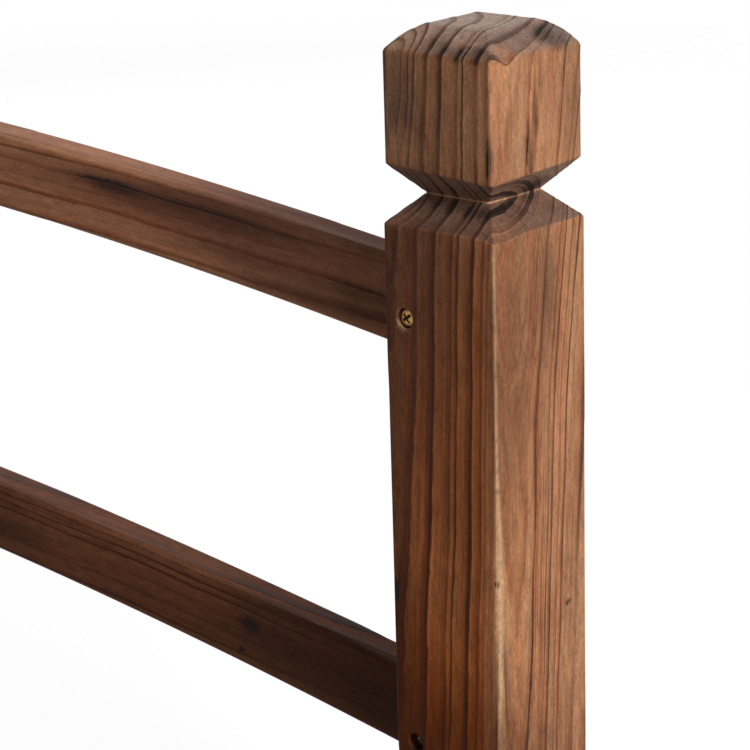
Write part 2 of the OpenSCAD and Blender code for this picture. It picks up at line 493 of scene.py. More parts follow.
# %% Grow the right post's tree
RIGHT_RINGS = [
    (6.0, 0.7), (10.5, 0.8), (14.8, 0.95), (23.8, 0.9), (33.6, 1.0), (44.2, 0.55), (47.1, 0.95),
    (56.6, 0.9), (62.6, 0.6), (65.4, 0.4), (70.6, 0.2), (73.0, 0.72), (75.8, 0.3), (77.7, 0.55),
    (79.8, 0.8), (83.4, 0.35), (86.4, 0.72), (98.6, 0.8), (112.0, 0.7), (122.0, 0.7),
]
RIGHT_TREE = Tree(pith=(-31.3, -22.5), lean=(2.82, -1.07), oval=(1.06, -0.507), level=453.0,
                  rings=RIGHT_RINGS, swerve=(3.0, -14.0, 465.0, 520.0), sink=1.7)
print("rings in the right post:", len(RIGHT_RINGS))

# %% [markdown]
# ## A cap cut by hand
# A post is one length of square timber. Four saw cuts leave a V groove under the cap, and four more bevel
# its crown. A cube with cuts would be exact but lifeless: on the real post the cuts are not quite level,
# the bevels meet a little off centre and every edge is rubbed. Those small faults are smooth shifts of a
# few millimetres.

# %% Bend the cuts of a cap
SHOULDER_Z, NECK_Z, BLOCK_Z, BLOCK_TOP_Z = 453.0, 467.3, 482.3, 537.8
NECK_SIDE, BLOCK_SIDE, CROWN_SIDE = 40.0, 68.0, 38.0
LEAN_FADE = 30.0


def hand_cut(points, block_lean, crown_shift, crown_lean, chips):
    """A cap's small faults. The block's lower edge sinks by block_lean towards the front corner and rises
    at the back, the crown reaches crown_shift further at the right and the back, and it is crown_lean
    lower at the front corner. Each chip sinks its surroundings by its depth times a bell: e to the power
    of minus the squared distance, in units of its reach."""
    x, y, z = np.moveaxis(points, -1, 0)
    forward = (x - y) / BLOCK_SIDE
    on_crown = np.interp(z, (BLOCK_TOP_Z, POST_HEIGHT), (0, 1))
    on_block = np.interp(z, (NECK_Z, BLOCK_Z, BLOCK_Z + LEAN_FADE), (0, 1, 0))
    z_cut = z - forward * (block_lean * on_block + crown_lean * on_crown)
    for centre, reach, depth in chips:
        z_cut = z_cut - depth * np.exp(-np.sum(((points - centre) / reach) ** 2, axis=-1))
    x_cut = x + crown_shift[0] * on_crown * np.clip(0.5 + x / CROWN_SIDE, 0, 1)
    y_cut = y + crown_shift[1] * on_crown * np.clip(0.5 + y / CROWN_SIDE, 0, 1)
    return np.stack([x_cut, y_cut, z_cut], axis=-1)


print(f"cap: block {BLOCK_SIDE:.0f} mm, neck {NECK_SIDE:.0f} mm, crown {CROWN_SIDE:.0f} mm")

# %% [markdown]
# ## Posts
# The post itself is its section carried up an eased outline: foot, shaft, shoulder, neck, block and
# crown. The same shape could be carved from a box by Booleans, but then its faces would be too large to
# take the rings. The grid is fine where the cap's slopes are and coarser along the shaft.

# %% Shape a post
RIDGE_HEIGHT = 0.3
ARRIS_RADIUS, WORN_RADIUS, LARGEST_RADIUS = 1.4, 3.6, 0.6
WORN_BELOW, SOUND_ABOVE = 290.0, 345.0
POST_SIDE_STEPS, POST_CORNER_STEPS = 48, 6
END_HALF, BEVEL_MIDDLE = 0.5, (27.3, 544.9)
POST_OUTLINE = [
    (END_HALF, 0), (POST_SIDE / 2, 0), (POST_SIDE / 2, SHOULDER_Z), (NECK_SIDE / 2, NECK_Z),
    (BLOCK_SIDE / 2, BLOCK_Z), (BLOCK_SIDE / 2, BLOCK_TOP_Z), BEVEL_MIDDLE, (CROWN_SIDE / 2, POST_HEIGHT),
    (END_HALF, POST_HEIGHT),
]
POST_EASING = [0, 1.0, 0.9, 0.6, 0.9, 1.6, 3.0, 3.0, 0]
POST_SPACING = [6, 3.6, 1.0, 1.0, 1.5, 1.0, 1.0, 1.5]


def post_surface(tree, worn_arris, block_lean, crown_shift, crown_lean, chips=()):
    """The square section, with half side and height from the eased outline, carried up the post. One
    arris has a larger radius below the middle, where it is worn. After the hand cuts each point is moved
    along the outline's normal by the ring's shade times the ridge height."""
    half, height = eased_line(POST_OUTLINE, POST_EASING, POST_SPACING).T[:, :, None]
    core, outward = section_pattern(POST_SIDE_STEPS, POST_CORNER_STEPS)
    nearness = np.clip((core * np.conj(worn_arris)).real / 2, 0, 1)
    wear = np.interp(height, (WORN_BELOW, SOUND_ABOVE), (1, 0)) * nearness
    radius = np.minimum(ARRIS_RADIUS + (WORN_RADIUS - ARRIS_RADIUS) * wear, LARGEST_RADIUS * half)
    flat = (half - radius) * core + radius * outward
    points = np.stack([flat.real, flat.imag, np.broadcast_to(height, flat.shape)], axis=-1)
    points = hand_cut(points, block_lean, crown_shift, crown_lean, chips)
    along = np.hypot(np.gradient(half[:, 0]), np.gradient(height[:, 0]))[:, None]
    rise, run = np.gradient(height, axis=0) / along, np.gradient(half, axis=0) / along
    upward = np.broadcast_to(-run, flat.shape)
    normal = np.stack([rise * outward.real, rise * outward.imag, upward], axis=-1)
    shade = tree.shade(tree.radius(points.reshape(-1, 3))).reshape(flat.shape)
    return points + (RIDGE_HEIGHT * (shade - 0.5))[..., None] * normal


RIGHT_CHIPS = [((34, -21, BLOCK_TOP_Z), (7, 5, 6), 5.0), ((35, -27, SHOULDER_Z), (5, 9, 6), 2.0)]
right_surface = post_surface(RIGHT_TREE, worn_arris=1 - 1j, block_lean=3.3, crown_shift=(1.4, 1.8),
                             crown_lean=1.2, chips=RIGHT_CHIPS)
right_post = closed_tube("right_post_timber", right_surface)
print("right post:", len(right_post.data.polygons), "faces")

# %% [markdown]
# ## An arched bar
# A rail is a board sawn along an arc, with rounded edges. A Simple Deform modifier could bend a straight
# bar, but the mortises need the very same arc with a small gap round it. So one function carries the
# rounded section along the arc, and it makes both the rails and the cutters for their mortises.

# %% Carry a section along the arc
RAIL_RISE, RAIL_HEIGHT, RAIL_THICKNESS, RAIL_EDGE = 42.0, 45.5, 22.0, 3.5
RAIL_RADIUS = (HALF_SPAN ** 2 + RAIL_RISE ** 2) / (2 * RAIL_RISE)
RAIL_REACH = (box_mm("top_rail")[1][0] - box_mm("top_rail")[0][0]) / 2
TOP_RAIL_Z = box_mm("top_rail")[1][2] - RAIL_RISE - RAIL_HEIGHT / 2
LOWER_RAIL_Z = box_mm("lower_rail")[1][2] - RAIL_RISE - RAIL_HEIGHT / 2
RAIL_SIDE_STEPS, RAIL_CORNER_STEPS, RAIL_SPACING = 14, 5, 4.0


def arched_bar(name, centre_z, ends, gap=0.0, shape=None):
    """A rounded rectangle carried along the rail's arc: at angle a from the middle, a point with height h
    and depth y lies at (radius + h) times (sin a, cos a), with y unchanged. ends are the two reaches
    along X from the middle. shape may change the heights and depths before they are bent."""
    core, outward = section_pattern(RAIL_SIDE_STEPS, RAIL_CORNER_STEPS)
    depth = (RAIL_THICKNESS / 2 - RAIL_EDGE) * core.imag + (RAIL_EDGE + gap) * outward.imag
    height = (RAIL_HEIGHT / 2 - RAIL_EDGE) * core.real + (RAIL_EDGE + gap) * outward.real
    reach = np.linspace(*ends, int(abs(ends[1] - ends[0]) / RAIL_SPACING) + 2)
    angle = np.arcsin(reach / RAIL_RADIUS)[:, None]
    height = np.broadcast_to(height, (len(reach), len(core)))
    depth = np.broadcast_to(depth, (len(reach), len(core)))
    if shape:
        height, depth = shape(height, depth, RAIL_RADIUS * angle)
    x = MIDDLE_X + (RAIL_RADIUS + height) * np.sin(angle)
    z = centre_z + RAIL_RISE - RAIL_RADIUS + (RAIL_RADIUS + height) * np.cos(angle)
    return closed_tube(name, np.stack([x, depth, z], axis=-1)[:, ::-1])


print(f"arc of {RAIL_RADIUS:.0f} mm, meeting the posts {TOP_RAIL_Z:.1f} and {LOWER_RAIL_Z:.1f} mm up")

# %% [markdown]
# ## Rails
# A Curve modifier on a straight bar would bend the grain along with it, but the real grain stays almost
# straight while the saw follows the arc, so growth lines run out at the edges. Each vertex therefore
# remembers where it lies in the straight board, and the rings are counted there.

# %% Shape the rails
GRAIN_BEND = 1 / 41200
TOP_RINGS = [
    (30.0, 0.6), (36.0, 0.7), (41.0, 0.5), (47.0, 0.5), (53.1, 0.75), (59.5, 0.7), (67.0, 0.4), (75.1, 0.8),
    (82.0, 0.25), (88.6, 0.8), (97.0, 0.7), (110.0, 0.6),
]
LOWER_RINGS = [
    (30.0, 0.6), (36.0, 0.7), (42.0, 0.7), (48.0, 0.9), (51.6, 1.0), (55.9, 0.9), (60.5, 1.0), (69.0, 0.3),
    (78.0, 0.4), (87.6, 0.7), (98.0, 0.6), (110.0, 0.6),
]
TOP_TREE, LOWER_TREE = [
    Tree(pith=(14.0, 60.0), lean=(0.0, 0.0), oval=(1.0, 0.0), level=0.0, rings=rings)
    for rings in (TOP_RINGS, LOWER_RINGS)
]


def in_board(depth, height, along):
    """Where a point of a rail lies in the straight board: depth, height across the arc less a small share
    of the squared length along it, and length along the arc from the middle."""
    return np.stack([depth, height - GRAIN_BEND * along ** 2, np.broadcast_to(along, depth.shape)], axis=-1)


def rail_piece(name, centre_z, tree):
    """Arched bar whose surface is raised by the rings' shade."""
    def raised(height, depth, along):
        radius = tree.radius(in_board(depth, height, along).reshape(-1, 3))
        lift = RIDGE_HEIGHT * (tree.shade(radius).reshape(depth.shape) - 0.5)
        return height + lift * height / (RAIL_HEIGHT / 2), depth + lift * depth / (RAIL_THICKNESS / 2)
    return arched_bar(name, centre_z, (-RAIL_REACH, RAIL_REACH), shape=raised)


def rail_fibre(places, centre_z):
    """Places in the straight board of points on a finished rail, from their angle and distance about the
    arc's centre."""
    x, y, z = places.T
    rise = z - (centre_z + RAIL_RISE - RAIL_RADIUS)
    along = RAIL_RADIUS * np.arctan2(x - MIDDLE_X, rise)
    return in_board(y, np.hypot(x - MIDDLE_X, rise) - RAIL_RADIUS, along)


top_rail = rail_piece("top_rail_timber", TOP_RAIL_Z, TOP_TREE)
lower_rail = rail_piece("lower_rail_timber", LOWER_RAIL_Z, LOWER_TREE)
print("rails:", len(top_rail.data.polygons), "faces each")

# %% [markdown]
# ## Mortises and holes
# Each rail end sits in a mortise cut along the same arc, and one screw through the post's front face
# locks it. Two bolt holes cross each foot. Holes could be faked with dark discs, but a real cut has a lit
# rim and a shaded wall, so the cutters are made as surfaces too, and a Boolean takes them out of the
# timber.

# %% Cut mortises and holes
MORTISE_GAP, HOUSING_DEPTH, MORTISE_RUN_OUT = 0.25, 25.0, 40.0
RECESS_RADIUS, BORE_RADIUS, SCREW_TIP_Y, TIP_GAP = 5.35, 2.7, 23.0, 0.2
HEAD_HEIGHT, SEAT_STEP, OVERRUN = 3.0, 0.01, 2.0
BOLT_HEIGHTS, BOLT_RADIUS = (40.0, 90.0), 3.5
screw_boxes = {name: box_mm(name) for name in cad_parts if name.endswith("_screw")}


def turned(name, profile, x, z, columns=48):
    """A profile of (radius, y) turned about an axis along Y. At turn a, a point lies off the axis by
    radius times (cos a, -sin a) in X and Z."""
    radius, y = np.array(profile, float).T[:, :, None]
    turn = np.linspace(0, 2 * np.pi, columns, endpoint=False)
    places = np.broadcast_arrays(x + radius * np.cos(turn), y, z - radius * np.sin(turn))
    return closed_tube(name, np.stack(places, axis=-1))


def screw_hole(name):
    """Recess for a screw's head, open at the post's front face, and a narrower bore past its tip."""
    low, high = screw_boxes[name]
    seat = low[1] + HEAD_HEIGHT
    front, tip = -POST_SIDE / 2 - OVERRUN, SCREW_TIP_Y + TIP_GAP
    recess = [(RECESS_RADIUS, front), (RECESS_RADIUS, seat)]
    bore = [(BORE_RADIUS, seat + SEAT_STEP), (BORE_RADIUS, tip)]
    return turned(name + "_hole", recess + bore, (low[0] + high[0]) / 2, (low[2] + high[2]) / 2)


def cut_post(piece, side):
    """Takes two mortises, two screw holes and two bolt holes out of a post. side is "right" or "left"."""
    sign, post_x = (1, 0.0) if side == "right" else (-1, LEFT_POST_X)
    reaches = (HALF_SPAN - MORTISE_RUN_OUT, HALF_SPAN + HOUSING_DEPTH + MORTISE_GAP)
    ends = sorted(sign * reach for reach in reaches)
    rail_heights = (TOP_RAIL_Z, LOWER_RAIL_Z)
    cutters = [arched_bar(f"mortise_{k}", z, ends, MORTISE_GAP) for k, z in enumerate(rail_heights)]
    cutters += [screw_hole(name) for name in screw_boxes if name.startswith(side)]
    through = POST_SIDE / 2 + OVERRUN
    bolt = [(BOLT_RADIUS, -through), (BOLT_RADIUS, through)]
    cutters += [turned(f"bolt_{k}", bolt, post_x, z) for k, z in enumerate(BOLT_HEIGHTS)]
    cut_away(piece, cutters)
    print(piece.name, "cut by", len(cutters), "cutters, now", len(piece.data.polygons), "faces")


cut_post(right_post, "right")
for rail, height in ((top_rail, "top"), (lower_rail, "lower")):
    cut_away(rail, [screw_hole(name) for name in screw_boxes if height in name])
    print(rail.name, "drilled at both ends")

# %% [markdown]
# ## The second post
# The railing's other end has the same post, turned to face the first. A mirrored copy would repeat every
# ring and fault, which no two pieces of timber do. So the second post is made by the same functions from
# another tree, with other small faults, and moved to its place as an array before it becomes a mesh.

# %% Make the left post
LEFT_RINGS = [
    (7.0, 0.5), (16.0, 0.7), (27.0, 0.9), (35.5, 0.6), (46.0, 1.0), (53.0, 0.7), (62.0, 0.8), (70.5, 0.9),
    (76.0, 0.6), (84.0, 0.8), (93.0, 0.7), (104.0, 0.8), (116.0, 0.7),
]
LEFT_TREE = Tree(pith=(38.0, 30.0), lean=(-3.5, 1.4), oval=(1.1, 0.25), level=453.0, rings=LEFT_RINGS)
left_surface = post_surface(LEFT_TREE, worn_arris=-1 - 1j, block_lean=-1.8, crown_shift=(-1.0, 0.8),
                            crown_lean=-1.2)
left_post = closed_tube("left_post_timber", left_surface + [LEFT_POST_X, 0, 0])
cut_post(left_post, "left")

# %% [markdown]
# ## Years in the shader
# The wood's finish starts from the ring radius that each vertex carries. One long colour ramp could hold
# every ring, but it would run out of stops. So a first ramp turns the radius into an age in years, and
# the fraction of that age is the place within a year. A second ramp gives the shade there, by the same
# curve that raised the ridges, and a stepped one gives each year its strength.

# %% Shade the years
def year_shade(finish, ring, tree):
    """The tree's shade in nodes: radius to age by a ramp, then the year's curve times its strength."""
    years = len(tree.strengths)
    stops = [(r / RING_REACH, k / years) for k, r in enumerate(tree.radii)]
    age = finish.calc("MULTIPLY", finish.ramp(finish.calc("DIVIDE", ring, RING_REACH), stops), years)
    curve = finish.ramp(finish.calc("FRACT", age), list(zip(YEAR_PLACES, YEAR_SHADES)))
    strengths = [(k / years, strength) for k, strength in enumerate(tree.strengths)]
    strength = finish.ramp(finish.calc("DIVIDE", age, years), strengths, "CONSTANT")
    return finish.calc("MULTIPLY", curve, strength)


print("a ramp holds up to 32 stops, and the right post needs", len(RIGHT_TREE.radii))

# %% [markdown]
# ## Noise along the fibre
# Between the rings, wood varies at every scale: brushed streaks, pores, specks, a figure of light and
# dark, and slow blotches from uneven scorching. One noise with many octaves would look like cloud. Wood
# fibres are long, so each noise here is stretched along them by its own amount. Two more follow the rings
# and make the fine lines inside a year, and one lets the rings wander so that no line is ruled.

# %% Stretch noise along the fibre
# Share of the length along the fibre, scale to the millimetre, detail and roughness of each noise
FIBRE_NOISE = {
    "wander": (0.12, 0.16, 3, 0.5),
    "streak": (0.022, 0.8, 4, 0.65),
    "blotch": (0.3, 0.035, 2, 0.5),
    "speck": (0.35, 1.3, 2, 0.5),
    "pore": (0.3, 1.3, 2, 0.7),
    "figure": (0.25, 0.3, 4, 0.65),
    "hue": (0.03, 0.11, 2, 0.5),
}
RING_NOISE = {"lines": (0.62, 3, 0.6), "threads": (2.3, 2, 0.6)}
RING_WANDER, LINE_STRETCH = 1.3, 0.004


def grain_parts(finish, fibre):
    """The ring radius, which wanders a little, and all noises by name. Ring noises read the radius across
    and a small share of the length along."""
    parts = {}
    for name, (stretch, scale, detail, roughness) in FIBRE_NOISE.items():
        place = finish.vector("MULTIPLY", fibre, (1, 1, stretch))
        parts[name] = finish.noise(place, scale, detail, roughness)
    ring = finish.swing(finish.attribute("ring", "Fac"), parts["wander"], RING_WANDER)
    along = finish.calc("MULTIPLY", finish.split(fibre)[2], LINE_STRETCH)
    place = finish.add("CombineXYZ", {0: ring, 2: along}).outputs[0]
    for name, settings in RING_NOISE.items():
        parts[name] = finish.noise(place, *settings)
    return ring, parts


print("noises:", ", ".join([*FIBRE_NOISE, *RING_NOISE]))

# %% [markdown]
# ## Colour of the wood
# Late wood is dark and early wood light, and the scorching only widened that. A tone from 0 to 1 adds up
# the year's shade and the noises, and one ramp of five browns turns it into colour. Two colours mixed by
# the rings would look painted. Heartwood is redder, and the hue drifts slowly between red and gold.

# %% Colour the wood
# The palest early wood's colour also paints a highlight on the lower rail's upper edge.
EARLY_PALE_AND_HIGHLIGHT, EARLY, MIDDLE = (0.58, 0.285, 0.15), (0.45, 0.195, 0.096), (0.27, 0.105, 0.050)
LATE, SCORCHED = (0.115, 0.043, 0.024), (0.026, 0.017, 0.014)
WOOD_STOPS = [(0.0, EARLY_PALE_AND_HIGHLIGHT), (0.22, EARLY), (0.48, MIDDLE), (0.75, LATE), (1.0, SCORCHED)]
HEART_TINT, DEEP_TINT = (1.10, 0.80, 0.56), (0.92, 0.72, 0.48)
RED_TINT, GOLD_TINT = (1.05, 0.95, 0.90), (0.98, 1.03, 1.02)
LATE_SHARE, LEAST_TONE, PALE_LIFT = 0.84, 0.01, 0.1
HUE_RANGE = (0.35, 0.65)
TONE_SHARES = {"lines": 0.7, "threads": 0.95, "streak": 0.36, "blotch": 0.6, "speck": 0.28, "pore": 0.5}


def wood_colour(finish, parts, late, kinds, contrast):
    """Late wood's share plus each noise's share, less the lift of paler wood, gives a tone. A ramp turns
    it into a colour, which the heart's two reds and the drift of hue then tint. kinds are the shares of
    redder, of deep red and of paler wood."""
    red, deep, pale = kinds
    tone = finish.calc("MULTIPLY_ADD", late, LATE_SHARE * contrast, LEAST_TONE)
    for name, share in TONE_SHARES.items():
        tone = finish.swing(tone, parts[name], share * contrast)
    tone = finish.calc("MULTIPLY_ADD", pale, -PALE_LIFT, tone)
    colour = finish.mix(red, finish.ramp(tone, WOOD_STOPS), HEART_TINT, "MULTIPLY")
    colour = finish.mix(deep, colour, DEEP_TINT, "MULTIPLY")
    hue = finish.mix(finish.fade(parts["hue"], *HUE_RANGE), RED_TINT, GOLD_TINT)
    return finish.mix(1.0, colour, hue, "MULTIPLY")


print("browns from early to scorched wood:", len(WOOD_STOPS))

# %% [markdown]
# ## Weathered end grain
# On the cap's slopes the saw cut across the fibres. End grain drinks in dust and goes grey, most on level
# faces and least on the hard rings, and the V groove keeps the soot that brushes don't reach. A mask
# could be painted by hand, but the surface normal already tells slopes from upright faces.

# %% Weather the end grain
WEATHER_TINT, GROOVE_TINT, DUSTY = (0.84, 0.94, 1.05), (0.27, 0.23, 0.21), (0.78, 0.60, 0.51)
SLOPE_DUST, LEVEL_DUST, RING_RELIEF = 0.5, 0.35, 0.75
SLOPE_RANGE, LEVEL_RANGE = (0.35, 0.95), (0.9, 0.99)
SPECK_RANGE, LATE_RANGE = (0.2, 0.6), (0.25, 0.75)


def weathered(finish, colour, end_axis, parts, late, sooty):
    """Tints slopes, then mixes in dust: a share for slopes plus one for level faces, broken by specks and
    thinner on the rings. Last, slopes in the groove are darkened by the share of soot."""
    normal = finish.split(finish.add("TexCoord").outputs["Normal"])
    facing = finish.calc("ABSOLUTE", normal[end_axis])
    slope = finish.fade(facing, *SLOPE_RANGE)
    colour = finish.mix(slope, colour, WEATHER_TINT, "MULTIPLY")
    level = finish.calc("MULTIPLY", finish.fade(facing, *LEVEL_RANGE), LEVEL_DUST)
    dust = finish.calc("MULTIPLY_ADD", slope, SLOPE_DUST, level)
    dust = finish.calc("MULTIPLY", dust, finish.fade(parts["speck"], *SPECK_RANGE))
    between = finish.calc("MULTIPLY_ADD", finish.fade(late, *LATE_RANGE), -RING_RELIEF, 1.0)
    colour = finish.mix(finish.calc("MULTIPLY", dust, between), colour, DUSTY)
    return finish.mix(finish.calc("MULTIPLY", slope, sooty), colour, GROOVE_TINT, "MULTIPLY")


print(f"end grain: {SLOPE_DUST:.0%} dust on slopes, {SLOPE_DUST + LEVEL_DUST:.0%} on level faces")

# %% [markdown]
# ## Stains
# The flame and the oil left their own shades on the wood: brown smoke, grey ash, deep red where oil
# gathered, and straw where the flame passed quickly. Noise alone would put them anywhere. Each is a
# soft ellipsoid with a place, a reach and a colour, and it is solid like the rings, so it passes
# round corners.

# %% Lay on stains
# The smoke colour is brown smoke on the posts. On the rails near the post it also paints the post's shade.
SMOKE_AND_SHADE, ASH, MAHOGANY = (0.115, 0.048, 0.029), (0.11, 0.085, 0.08), (0.05, 0.0125, 0.004)
STRAW, TAN = (0.5, 0.24, 0.13), (0.28, 0.112, 0.05)
PATCH_EDGE, SOFT_CORE = 1.1, 0.1


def patch(finish, place, centre, reach, core=SOFT_CORE):
    """1 near the centre of an ellipsoid, fading to 0 just past its reach. core is the share of the reach
    that keeps 1."""
    offset = finish.vector("DIVIDE", finish.vector("SUBTRACT", place, centre), reach)
    return finish.fade(finish.vector("LENGTH", offset), PATCH_EDGE, core)


def stained_and_shaded(finish, colour, fibre, stains):
    """Mixes in each patch's own colour, by its strength, over its soft patch. Most are stains, but on the
    rails some are painted shade, a painted shadow and a painted highlight.
    """
    for centre, reach, strength, stain in stains:
        share = finish.calc("MULTIPLY", patch(finish, fibre, centre, reach), strength)
        colour = finish.mix(share, colour, stain)
    return colour


print("stain colours: smoke, ash, mahogany, straw and tan")

# %% [markdown]
# ## Burns, knots and bare wood
# Burns and knots are darker than stains, and fire eats along the grain. A smooth black patch would look
# like mould. So a burn's edge is made ragged by noise, and between the dark fibres it lets some wood
# through. Where a tool took off the burnt skin, a crisp patch shows raw wood.

# %% Burn and bare the wood
# Raw wood's colour. On the rails it also paints a highlight along the rounded edges.
RAW_AND_HIGHLIGHT = (0.86, 0.54, 0.30)
RAGGED_SCALE, RAGGED_REACH = 0.22, (3, 3, 6)
VEIN_SHARE, VEIN_RANGE = 1.5, (0.05, 0.6)
LEAST_CHAR, BARE_CORE = 0.3, 0.75


def burnt(finish, colour, fibre, threads, late, burns, bares):
    """Mixes scorched wood into each burn by its strength times char, which is full on dark fibres and
    least between them, and then raw wood into each bare patch. Both patches are moved about by noise."""
    char = finish.fade(finish.swing(late, threads, VEIN_SHARE), *VEIN_RANGE)
    char = finish.calc("MULTIPLY_ADD", char, 1 - LEAST_CHAR, LEAST_CHAR)
    noise = finish.add("TexNoise", {"Vector": fibre, "Scale": RAGGED_SCALE, "Detail": 2.0}).outputs["Color"]
    shift = finish.vector("SUBTRACT", noise, (0.5, 0.5, 0.5))
    ragged = finish.vector("MULTIPLY_ADD", shift, RAGGED_REACH, fibre)
    for centre, reach, strength in burns:
        burn = finish.calc("MULTIPLY", patch(finish, ragged, centre, reach), strength)
        colour = finish.mix(finish.calc("MULTIPLY", burn, char), colour, SCORCHED)
    for centre, reach, strength in bares:
        bare = patch(finish, ragged, centre, reach, BARE_CORE)
        colour = finish.mix(finish.calc("MULTIPLY", bare, strength), colour, RAW_AND_HIGHLIGHT)
    return colour


print(f"a burn lets {1 - LEAST_CHAR:.0%} of the light fibres through")

# %% [markdown]
# ## Figure and relief
# Stains that are mixed in hide the grain below them, and real ones don't. So the figure and the pores
# darken and lighten the colour once more at the very end. The same parts also make the bump that a mesh
# would be too coarse for, and hard late wood is a little glossier than the rest.

# %% Add figure and relief
FIGURE_SHARE, PORE_SHARE = 1.25, 1.4
ROUGHNESS, LATE_GLOSS, SPECULAR_LEVEL = 0.62, 0.12, 0.06
LINE_RELIEF, STREAK_RELIEF = 0.4, 0.5
BUMP_STRENGTH, BUMP_DEPTH = 0.55, 0.35


def figured(finish, colour, parts, contrast, tint):
    """The colour times 1 plus the swing of figure and pores, and times the timber's own tint."""
    grain = finish.swing(1.0, parts["figure"], FIGURE_SHARE * contrast)
    grain = finish.swing(grain, parts["pore"], PORE_SHARE * contrast)
    colour = finish.mix(1.0, colour, grain, "MULTIPLY")
    return finish.mix(1.0, colour, tint, "MULTIPLY")


def brushed(finish, parts, late):
    """Roughness less a share of late wood, and bump from late wood plus shares of lines and streaks."""
    finish.give("Roughness", finish.calc("MULTIPLY_ADD", late, -LATE_GLOSS, ROUGHNESS))
    finish.give("Specular IOR Level", SPECULAR_LEVEL)
    relief = finish.calc("MULTIPLY_ADD", parts["lines"], LINE_RELIEF, late)
    relief = finish.calc("MULTIPLY_ADD", parts["streak"], STREAK_RELIEF, relief)
    bump = finish.add("Bump", {"Height": relief, "Strength": BUMP_STRENGTH, "Distance": BUMP_DEPTH * MM})
    finish.give("Normal", bump.outputs[0])


print(f"bump up to {BUMP_DEPTH} mm, on ridges of {RIDGE_HEIGHT} mm")

# %% [markdown]
# ## The whole finish
# On the real timber each step lay on the one before: the wood grew, weather and soot came over it, hands
# rubbed its edges, and smoke and fire marked it. The finish follows that order, so each step is one call.
# All of it could stand in one long function, but short steps are easier to change one at a time.

# %% Put the wood finish together
def wood_finish(name, tree, end_axis, wear, heart, burns, stains, bares=(), contrast=1.0,
                tint=(1.0, 1.0, 1.0)):
    """Scorched softwood. end_axis is 0, 1 or 2, the axis along which end grain looks. wear gives the
    share of raw wood on rubbed edges, which on the rails is partly a painted highlight, and heart the
    shares of redder, of deep red and of paler wood, and of soot. burns, stains and bares list patches
    as (centre, reach, strength) in the timber's own millimetres, and a stain has its colour as well.
    On the rails some stains are painted shade and a painted highlight. contrast scales all shades, and
    tint multiplies the colour."""
    finish = Finish(bpy.data.materials.new(name))
    fibre = finish.attribute("fibre")
    ring, parts = grain_parts(finish, fibre)
    late = year_shade(finish, ring, tree)
    *kinds, sooty = heart(finish, fibre, ring)
    colour = wood_colour(finish, parts, late, kinds, contrast)
    colour = weathered(finish, colour, end_axis, parts, late, sooty)
    colour = finish.mix(wear(finish, fibre, parts["streak"]), colour, RAW_AND_HIGHLIGHT)
    colour = stained_and_shaded(finish, colour, fibre, stains)
    colour = burnt(finish, colour, fibre, parts["threads"], late, burns, bares)
    finish.give("Base Color", figured(finish, colour, parts, contrast, tint))
    brushed(finish, parts, late)
    return finish.owner


def dress(piece, node, tree, fibre, material):
    """Fibre places and ring radii for a timber, its finish, and its place in the frame."""
    carry(piece, "fibre", fibre)
    carry(piece, "ring", tree.radius(fibre))
    smooth(piece)
    piece.data.materials.clear()
    piece.data.materials.append(material)
    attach(piece, "root")
    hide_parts(node)
    print(piece.name, "dressed with", len(material.node_tree.nodes), "nodes")


print("wood finish: growth, weather, wear, stains, burns, figure")

# %% [markdown]
# ## Rubbed edges and heartwood
# Hands and tools rubbed the posts' edges to raw wood: a thin pale line high up, and a wider band low on
# the front arris. The bottom of the V groove, where the last saw cuts met after the scorching, is raw
# too. A Bevel or Pointiness node could find edges, but not in every renderer, so the distance to an arris
# is worked out. The heartwood's red lies inside a ring, and it is deepest low down.

# %% Rub and redden a post
RUB_WEIGHTS, RUB_WIDTH, FRONT_WIDTH, LOW_WIDTH = (1.7, 0.75), 0.8, 0.5, 1.5
RUB_SHARE, FRONT_SHARE, GROOVE_SHARE = 0.35, 0.6, 0.6
RUB_RANGE, GROOVE_RANGE, STREAK_RANGE = (1.5, 0.5), (0.8, 0.1), (0.1, 0.6)
FRONT_RANGE = (0.5 * POST_SIDE, 0.8 * POST_SIDE)
WORN_HEIGHTS, RUB_HEIGHTS = (SOUND_ABOVE, WORN_BELOW - 5), (SHOULDER_Z + 2, SHOULDER_Z - 8)
HEART_EDGE, RED_HEIGHTS, DEEP_HEIGHTS = (74, 60), (510, 370), (300, 190)
FRONT_DEPTHS, FRONT_PALE, PALE_HEIGHTS = (-25, -33), 1.2, (NECK_Z, BLOCK_Z + 8)
UNDER_SOOT, UNDER_HEIGHTS, SOOT_HEIGHTS = 0.25, (NECK_Z + 1, NECK_Z), (BLOCK_Z + 16, BLOCK_Z + 6)


